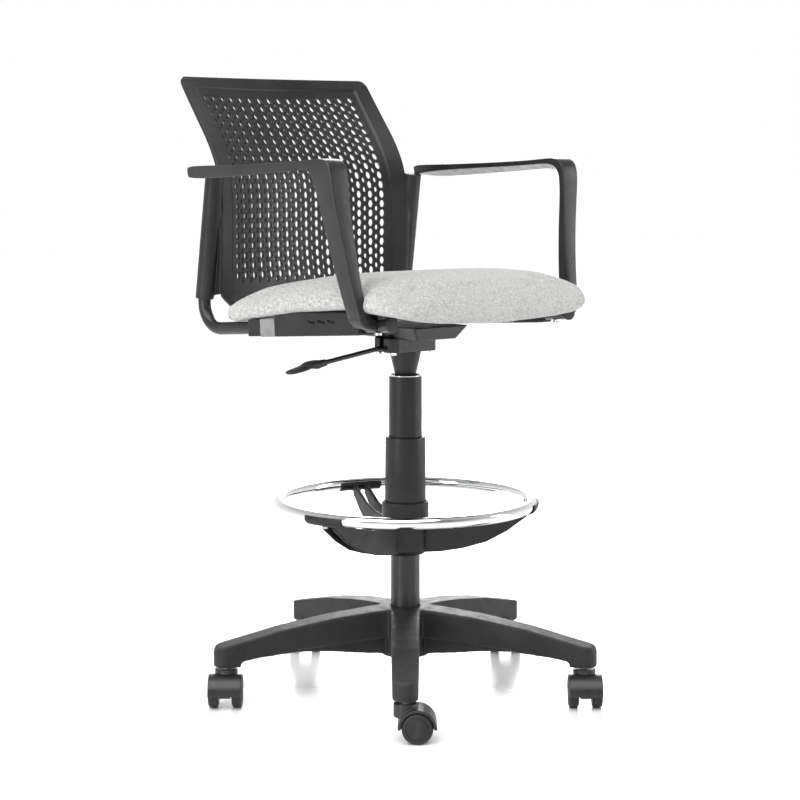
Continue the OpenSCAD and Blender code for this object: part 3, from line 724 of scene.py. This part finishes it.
def build_tubes():
    for side, node in ((-1, "frame_tube_right"), (1, "frame_tube_left")):
        o = sweep("tube_" + node, tube_path(side), 11.0)
        finish_piece(o, "painted_tube", "lift", [node], smooth_angle=50)


# ---------------------------------------------------------------- foot ring, column and covers
def build_ring():
    ring_r, tube_r, ring_z = 215.5, 9.5, 329
    big, small = 180, 36
    bm = bmesh.new()
    grid = []
    for i in range(big):
        a = 2 * math.pi * i / big
        row = []
        for k in range(small):
            t = 2 * math.pi * k / small
            r = ring_r + tube_r * math.cos(t)
            z = ring_z + tube_r * math.sin(t)
            row.append(bm.verts.new((r * math.cos(a) * MM, r * math.sin(a) * MM, z * MM)))
        grid.append(row)
    for i in range(big):
        a, b = grid[i], grid[(i + 1) % big]
        for k in range(small):
            j = (k + 1) % small
            bm.faces.new((a[k], b[k], b[j], a[j]))
    finish_piece(make("ring_chrome", bm), "chrome_ring", "footring", ["foot_ring"])


def build_column():
    """The column and its covers, each a closed (r, z) profile in mm."""
    lower = [(28.9, 441), (33.6, 441), (34.0, 439.5), (34.1, 437),
             (35.2, 314), (31.5, 314), (31.5, 436), (28.9, 436)]
    middle = [(25.9, 545.6), (27.5, 545.6), (27.6, 538), (28.5, 373), (25.9, 373)]
    upper = [(14.6, 514), (18, 514), (18, 548), (18.6, 551),
             (26.2, 585), (26.5, 587.6), (23.5, 587.6), (15, 557)]
    lip = [(25.6, 546.9), (26.3, 547.4), (27.2, 547.2), (27.6, 546.6), (27.6, 545.2), (25.6, 545.2)]
    column = [(22.5, 64), (22.5, 376), (24.4, 376), (25, 375.2), (25, 60.8), (24.2, 60), (5.2, 60), (5.2, 64)]
    c = lathe("cover_looks_lower", lower, 128, round_mm=0.8)
    finish_piece(c, "cover_plastic", "base", ["cover_lower"], 30)
    c = lathe("cover_looks_middle", middle, 128, round_mm=0.5)
    finish_piece(c, "cover_plastic", "middle", ["cover_middle"], 30)
    c = lathe("cover_looks_upper", upper, 128, round_mm=0.5)
    finish_piece(c, "cover_plastic", "lift", ["cover_upper"], 30)
    finish_piece(lathe("lip_bright", lip, 128), "polished_steel", "middle")
    finish_piece(lathe("column_looks", column, 128), "painted_tube", "base", ["column_tube"], 30)


# ---------------------------------------------------------------- casters
def build_wheel(k, s):
    """One wheel: closed on its outer face, with a blind bore for the axle on the inner one."""
    letter = "a" if s > 0 else "b"
    node = "wheel_%s_%d" % (letter, k)
    joint = [j for j in frame["joints"] if j["name"] == node + "_spin"][0]
    ax = Vector(joint["axis"]).normalized()
    w = 8.75        # half the wheel's width
    middle = 19.65  # along the axle, from the joint's point to the wheel's middle
    prof = [(0.02, w + 0.5), (9, w + 0.35), (16, w - 0.1), (17.2, w - 0.5), (17.8, w - 1.0), (18.4, w - 0.4),
            (21.5, w - 0.3), (23.6, w - 1.4), (24.7, w - 3.2), (25, w - 5.0), (25, -w + 5.0),
            (24.7, -w + 3.2), (23.6, -w + 1.4), (21.5, -w + 0.3), (18.2, -w), (3.1, -w),
            (3.1, w - 0.6), (0.02, w - 0.6)]
    o = lathe("caster_" + node, prof, 72)
    outward = ax if s > 0 else -ax
    place = Matrix.Translation(Vector(joint["pos_m"]) + ax * (s * middle * MM))
    o.data.transform(place @ outward.to_track_quat("Z", "Y").to_matrix().to_4x4())
    finish_piece(o, "wheel_plastic", BODY[node], [node], 35)


def build_casters():
    for k in range(1, 6):
        rounded("hood_%d" % k, 1.0, 4)
        for s in (1, -1):
            build_wheel(k, s)


# ---------------------------------------------------------------- height lever
DROOP = math.radians(8.0)
LEVER_Z = 603.0   # height of the lever's line at the column's axis
HANDLE_AT = 172.0  # along that line, from the axis to the handle's root
LEVER_ROOT = (-HANDLE_AT * math.cos(DROOP), LEVER_Z - HANDLE_AT * math.sin(DROOP))


def build_lever():
    """Flat drooping paddle at the end of the height lever, thicker towards its root."""
    # distance from the root, half width, half thickness, how far it is raised off the lever's line
    stations = [(0, 4.8, 4.8, 0), (1, 6.2, 5.6, 0), (14, 6.8, 6.4, 0), (20, 12.0, 7.6, 0.5),
                (24, 13.6, 7.4, 0.8), (38, 14.2, 5.4, 2.6), (42, 14.4, 3.6, 1.0), (46, 14.2, 3.6, -0.5),
                (70, 13.0, 3.4, -1.5), (78, 9.0, 2.4, -2.0), (80, 5.0, 1.4, -2.2)]
    seg = 24
    bm = bmesh.new()
    rings = []
    cx, cz = LEVER_ROOT
    for d, w, h, lift in stations:
        ring = []
        for k in range(seg):
            a = 2 * math.pi * k / seg
            c, sn = math.cos(a), math.sin(a)
            y = w * math.copysign(abs(c) ** 0.75, c)
            n = h * math.copysign(abs(sn) ** 0.6, sn) - lift
            x = cx - d * math.cos(DROOP) + n * math.sin(DROOP)
            z = cz - d * math.sin(DROOP) - n * math.cos(DROOP)
            ring.append(bm.verts.new((x * MM, y * MM, z * MM)))
        rings.append(ring)
    join_rings(bm, rings)
    o = make("lever_paddle", bm)
    subdivided(o, 1)
    finish_piece(o, "black_plastic", BODY["lever_handle"], ["lever_handle"])


# ---------------------------------------------------------------- the pieces
build_back()
build_cushion()
build_arm(-1, "armrest_right")
build_arm(1, "armrest_left")
build_tubes()
build_ring()
build_column()
build_casters()
rounded("star_base", 2.2, 6)
rounded("footring_hub", 1.5, 3)
rounded("seat_shell", 1.2, 3)
rounded("seat_plate", 1.8, 2)
rounded("mechanism_box", 1.5, 2)
rounded("tube_saddles", 1.0, 3)
rounded("tube_collars", 1.0, 3)
rounded("tube_plugs", 0.8, 3)
rounded("sleeve_right", 1.2, 2)
rounded("sleeve_left", 1.2, 2)
build_lever()

# ---------------------------------------------------------------- stage, light and camera
def area(name, loc, target, size, power):
    d = bpy.data.lights.new(name, "AREA")
    d.shape = "RECTANGLE"
    d.size, d.size_y = size
    d.energy = power
    o = bpy.data.objects.new(name, d)
    COLL.objects.link(o)
    o.location = loc
    o.rotation_euler = (Vector(target) - Vector(loc)).to_track_quat("-Z", "Y").to_euler()
    return o


bm = bmesh.new()
bmesh.ops.create_grid(bm, x_segments=1, y_segments=1, size=14.0)
floor = make("floor", bm, False)
fm = Nodes("floor_pale")
pale = fm.mix(fm.span(fm.noise(2.0), 0.3, 0.7), (0.90, 0.90, 0.90), (0.92, 0.92, 0.92))
fm.link(pale, fm.s.inputs["Base Color"])
fm.link(fm.span(fm.noise(5.0), 0.3, 0.7, 0.22, 0.30), fm.s.inputs["Roughness"])
floor.data.materials.append(fm.m)

world = bpy.data.worlds.new("studio")
bpy.context.scene.world = world
world.use_nodes = True
wt = world.node_tree
wc = wt.nodes.new("ShaderNodeTexCoord")
wx = wt.nodes.new("ShaderNodeSeparateXYZ")
wr = wt.nodes.new("ShaderNodeMapRange")
wr.interpolation_type = "SMOOTHSTEP"
wr.inputs["From Min"].default_value = 0.12
wr.inputs["From Max"].default_value = 0.6
wr.inputs["To Min"].default_value = 1.0
wr.inputs["To Max"].default_value = 0.62
wt.links.new(wc.outputs["Generated"], wx.inputs[0])
wt.links.new(wx.outputs[2], wr.inputs["Value"])


def wspan(value, a, b, lo, hi):
    n = wt.nodes.new("ShaderNodeMapRange")
    n.interpolation_type = "SMOOTHSTEP"
    for key, v in (("From Min", a), ("From Max", b), ("To Min", lo), ("To Max", hi)):
        n.inputs[key].default_value = v
    wt.links.new(value, n.inputs["Value"])
    return n.outputs["Result"]


def wmath(op, a, b):
    n = wt.nodes.new("ShaderNodeMath")
    n.operation = op
    for socket, v in zip(n.inputs, (a, b)):
        if hasattr(v, "links"):
            wt.links.new(v, socket)
        else:
            socket.default_value = v
    return n.outputs[0]


# the dark side of the studio, above eye level on the chair's front right
ahead = wmath("ADD", wmath("MULTIPLY", wx.outputs[0], -0.64), wmath("MULTIPLY", wx.outputs[1], -0.77))
dark = wmath("MULTIPLY", wspan(ahead, -0.1, 0.8, 0.0, 0.45), wspan(wx.outputs[2], 0.04, 0.28, 0.0, 1.0))
wt.links.new(wmath("SUBTRACT", wr.outputs["Result"], dark), wt.nodes["Background"].inputs["Color"])
world.node_tree.nodes["Background"].inputs["Strength"].default_value = 1.0
sun = bpy.data.lights.new("sun", "SUN")
sun.energy = 2.7
sun.angle = math.radians(60)
so = bpy.data.objects.new("sun", sun)
COLL.objects.link(so)
so.rotation_euler = (math.radians(14), math.radians(-24), 0)
area("key", (-3.2, -0.2, 1.5), (0, 0, 0.6), (0.9, 2.6), 50)
area("fill", (2.6, -2.0, 1.2), (0, 0, 0.6), (0.8, 2.4), 30)
area("rim", (2.2, 2.4, 1.6), (0, 0, 0.7), (1.2, 2.4), 60)

cd = bpy.data.cameras.new("camera")
cam = bpy.data.objects.new("camera", cd)
COLL.objects.link(cam)
cam.location = (-2.2493, -2.6805, 0.9242)
cam.rotation_euler = (math.radians(83.143), 0.0, math.radians(-39.851))
cd.lens = 93.27
cd.sensor_width = 36.0
bpy.context.scene.camera = cam
bpy.context.scene.view_settings.view_transform = "Standard"
